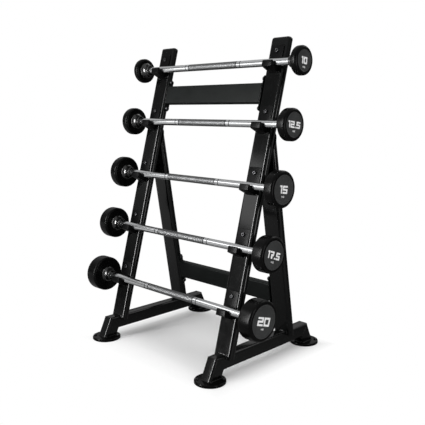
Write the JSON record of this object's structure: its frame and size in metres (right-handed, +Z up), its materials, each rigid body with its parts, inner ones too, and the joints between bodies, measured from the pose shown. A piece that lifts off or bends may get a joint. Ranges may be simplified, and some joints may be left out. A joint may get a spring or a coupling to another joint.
{
  "type": "barbell storage rack",
  "caption": "Free-standing rack of two leaning, braced side frames with paired saddles that hold fixed barbells one above the other; each barbell lifts out forward and up.",
  "frame": {"origin": "on the floor, under the middle of the barbells; the rack's own middle lies 16 mm to the left of it, as the barbells lie off centre in the picture", "axes": "+X along the barbells, to the right seen from the front; +Y to the back, away from the user; +Z up"},
  "size_m": [1.048, 0.738, 1.3447],
  "materials": {
    "frame_paint": "satin black powder coat",
    "beam_paint": "satin black powder coat",
    "saddle_plastic": "moulded black plastic",
    "bolt_steel": "dark plated steel",
    "chrome": "polished, knurled over the grip",
    "head_urethane": "matte black urethane over iron",
    "foot_plastic": "black, glossy"
  },
  "bodies": {
    "rack": {"base_rail_left": "frame_paint", "base_rail_right": "frame_paint", "foot_front_left": "foot_plastic", "foot_front_right": "foot_plastic", "foot_rear_left": "foot_plastic", "foot_rear_right": "foot_plastic", "foot_stub_front_left": "frame_paint", "foot_stub_front_right": "frame_paint", "foot_stub_rear_left": "frame_paint", "foot_stub_rear_right": "frame_paint", "lower_beam": "beam_paint", "lower_beam_bolt_left_lower": "bolt_steel", "lower_beam_bolt_left_upper": "bolt_steel", "lower_beam_bolt_right_lower": "bolt_steel", "lower_beam_bolt_right_upper": "bolt_steel", "rear_leg_left": "frame_paint", "rear_leg_right": "frame_paint", "saddle_10_left": "saddle_plastic", "saddle_10_right": "saddle_plastic", "saddle_12_5_left": "saddle_plastic", "saddle_12_5_right": "saddle_plastic", "saddle_15_left": "saddle_plastic", "saddle_15_right": "saddle_plastic", "saddle_17_5_left": "saddle_plastic", "saddle_17_5_right": "saddle_plastic", "saddle_20_left": "saddle_plastic", "saddle_20_right": "saddle_plastic", "saddle_bolt_10_left": "bolt_steel", "saddle_bolt_10_right": "bolt_steel", "saddle_bolt_12_5_left": "bolt_steel", "saddle_bolt_12_5_right": "bolt_steel", "saddle_bolt_15_left": "bolt_steel", "saddle_bolt_15_right": "bolt_steel", "saddle_bolt_17_5_left": "bolt_steel", "saddle_bolt_17_5_right": "bolt_steel", "saddle_bolt_20_left": "bolt_steel", "saddle_bolt_20_right": "bolt_steel", "upper_beam": "beam_paint", "upper_beam_bolt_left_lower": "bolt_steel", "upper_beam_bolt_left_upper": "bolt_steel", "upper_beam_bolt_right_lower": "bolt_steel", "upper_beam_bolt_right_upper": "bolt_steel", "upright_left": "frame_paint", "upright_right": "frame_paint"},
    "barbell_10": {"bar_10": "chrome", "head_10_left": "head_urethane", "head_10_right": "head_urethane"},
    "barbell_12_5": {"bar_12_5": "chrome", "head_12_5_left": "head_urethane", "head_12_5_right": "head_urethane"},
    "barbell_15": {"bar_15": "chrome", "head_15_left": "head_urethane", "head_15_right": "head_urethane"},
    "barbell_17_5": {"bar_17_5": "chrome", "head_17_5_left": "head_urethane", "head_17_5_right": "head_urethane"},
    "barbell_20": {"bar_20": "chrome", "head_20_left": "head_urethane", "head_20_right": "head_urethane"}
  },
  "joints": [
    {"name": "lift_out_10", "type": "slide", "parent": "rack", "child": "barbell_10", "axis": [0, -0.4234, 0.9059], "range_m": [0, 0.3]},
    {"name": "lift_out_12_5", "type": "slide", "parent": "rack", "child": "barbell_12_5", "axis": [0, -0.4234, 0.9059], "range_m": [0, 0.3]},
    {"name": "lift_out_15", "type": "slide", "parent": "rack", "child": "barbell_15", "axis": [0, -0.4234, 0.9059], "range_m": [0, 0.3]},
    {"name": "lift_out_17_5", "type": "slide", "parent": "rack", "child": "barbell_17_5", "axis": [0, -0.4234, 0.9059], "range_m": [0, 0.3]},
    {"name": "lift_out_20", "type": "slide", "parent": "rack", "child": "barbell_20", "axis": [0, -0.4234, 0.9059], "range_m": [0, 0.3]}
  ]
}
